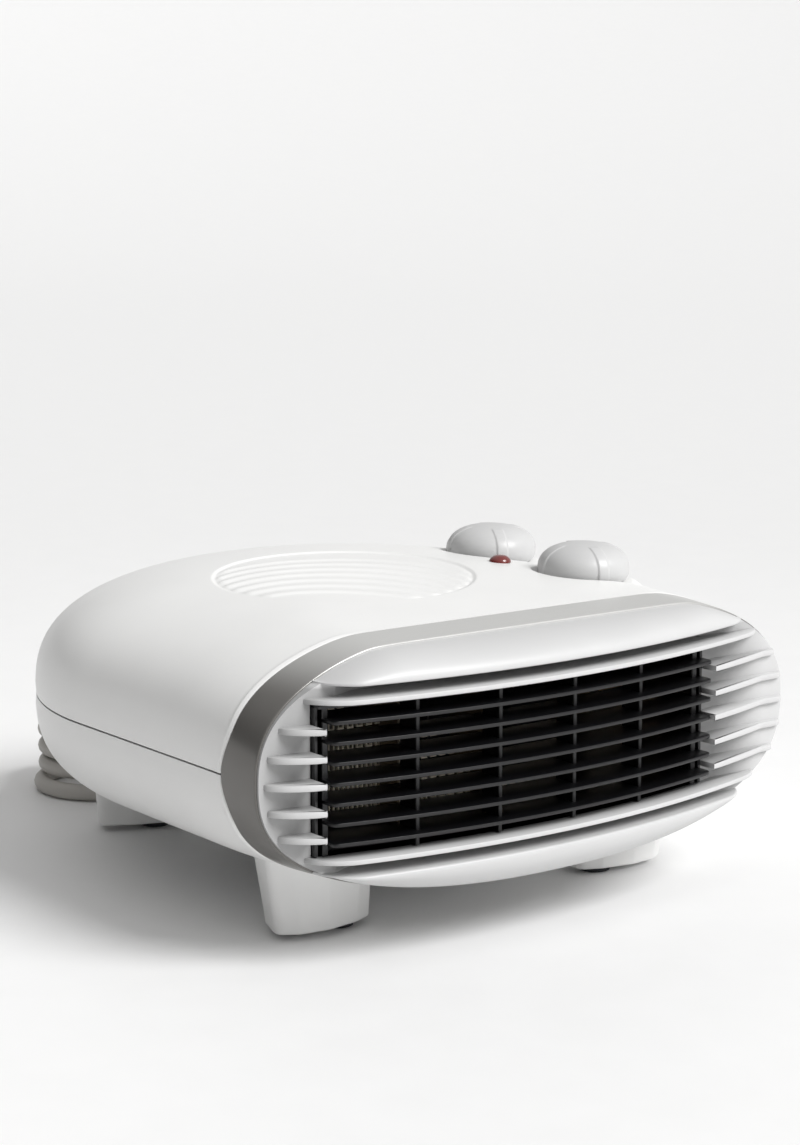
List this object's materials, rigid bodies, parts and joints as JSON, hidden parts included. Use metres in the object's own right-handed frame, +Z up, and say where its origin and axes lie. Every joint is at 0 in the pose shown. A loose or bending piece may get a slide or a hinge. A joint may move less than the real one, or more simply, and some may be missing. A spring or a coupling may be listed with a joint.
{
  "type": "fan heater",
  "caption": "Flat tabletop fan heater with an oval shell, curved louvred outlet, ribbed roof panel, two domed knobs, an indicator lamp, splayed feet and a tied cord hank.",
  "frame": {"origin": "on the surface that it stands on, under the middle of the heater without its cord", "axes": "+Z up, front outlet faces -Y, +X to the viewer's right when facing the outlet"},
  "size_m": [0.2865, 0.411, 0.128],
  "materials": {
    "shell_white": "smooth white moulding with a soft sheen",
    "pad_rubber": "dull black rubber",
    "band_silver": "satin silver-grey lacquer",
    "bezel_grey": "light grey moulding, satin",
    "grille_black": "black moulding with a soft sheen",
    "sheet_steel": "zinc-coated sheet",
    "core_steel": "laminated core",
    "mica": "dull pressed mica",
    "ribbon_alloy": "oxidised heating alloy",
    "terminal_brass": "plain brass",
    "cutout_copper": "copper-coloured housing",
    "inner_black": "plain black moulding",
    "wheel_grey": "plain dark grey moulding",
    "shaft_steel": "ground steel",
    "coil_copper": "enamelled copper wire",
    "screw_zinc": "zinc-plated",
    "ceramic": "plain pale insulating body",
    "knob_grey": "light grey moulding, satin",
    "lamp_red": "dark red lens",
    "cord_grey": "grey cord sheath, satin"
  },
  "bodies": {
    "housing": {"upper_cover": "shell_white", "lower_cover": "shell_white", "leg_front_left": "shell_white", "leg_front_right": "shell_white", "leg_rear_left": "shell_white", "leg_rear_right": "shell_white", "rubber_pads": "pad_rubber", "trim_band": "band_silver", "front_bezel": "bezel_grey", "outlet_grille": "grille_black", "heater_frame": "sheet_steel", "mica_boards": "mica", "heating_ribbons": "ribbon_alloy", "heater_terminals": "terminal_brass", "thermal_cutout": "cutout_copper", "fan_scroll": "inner_black", "motor_stator": "core_steel", "motor_coil": "coil_copper", "motor_bearings": "sheet_steel", "motor_screws": "screw_zinc", "thermostat_body": "ceramic", "selector_body": "inner_black", "lamp_lens": "lamp_red", "lamp_body": "ceramic", "cover_screws": "screw_zinc", "cord_clamp": "inner_black", "clamp_screws": "screw_zinc", "inner_cord": "cord_grey", "strain_relief": "cord_grey", "mains_cord": "cord_grey", "cord_hank": "cord_grey", "cord_tie": "inner_black", "cord_tail": "cord_grey", "plug_body": "cord_grey", "plug_pins": "terminal_brass", "earth_clips": "terminal_brass"},
    "fan": {"fan_wheel": "wheel_grey", "motor_shaft": "shaft_steel", "motor_rotor": "sheet_steel"},
    "thermostat": {"thermostat_knob": "knob_grey", "thermostat_spindle": "shaft_steel"},
    "selector": {"selector_knob": "knob_grey", "selector_spindle": "shaft_steel"}
  },
  "joints": [
    {"name": "fan_spin", "type": "hinge", "parent": "housing", "child": "fan", "pos_m": [-0.0133, -0.007, 0.07], "axis": [0, 0, 1], "continuous": true},
    {"name": "thermostat_turn", "type": "hinge", "parent": "housing", "child": "thermostat", "pos_m": [0.077, 0.0135, 0.11], "axis": [0, 0, -1], "range_deg": [0, 270]},
    {"name": "selector_turn", "type": "hinge", "parent": "housing", "child": "selector", "pos_m": [0.077, -0.0465, 0.11], "axis": [0, 0, -1], "range_deg": [0, 135]}
  ]
}
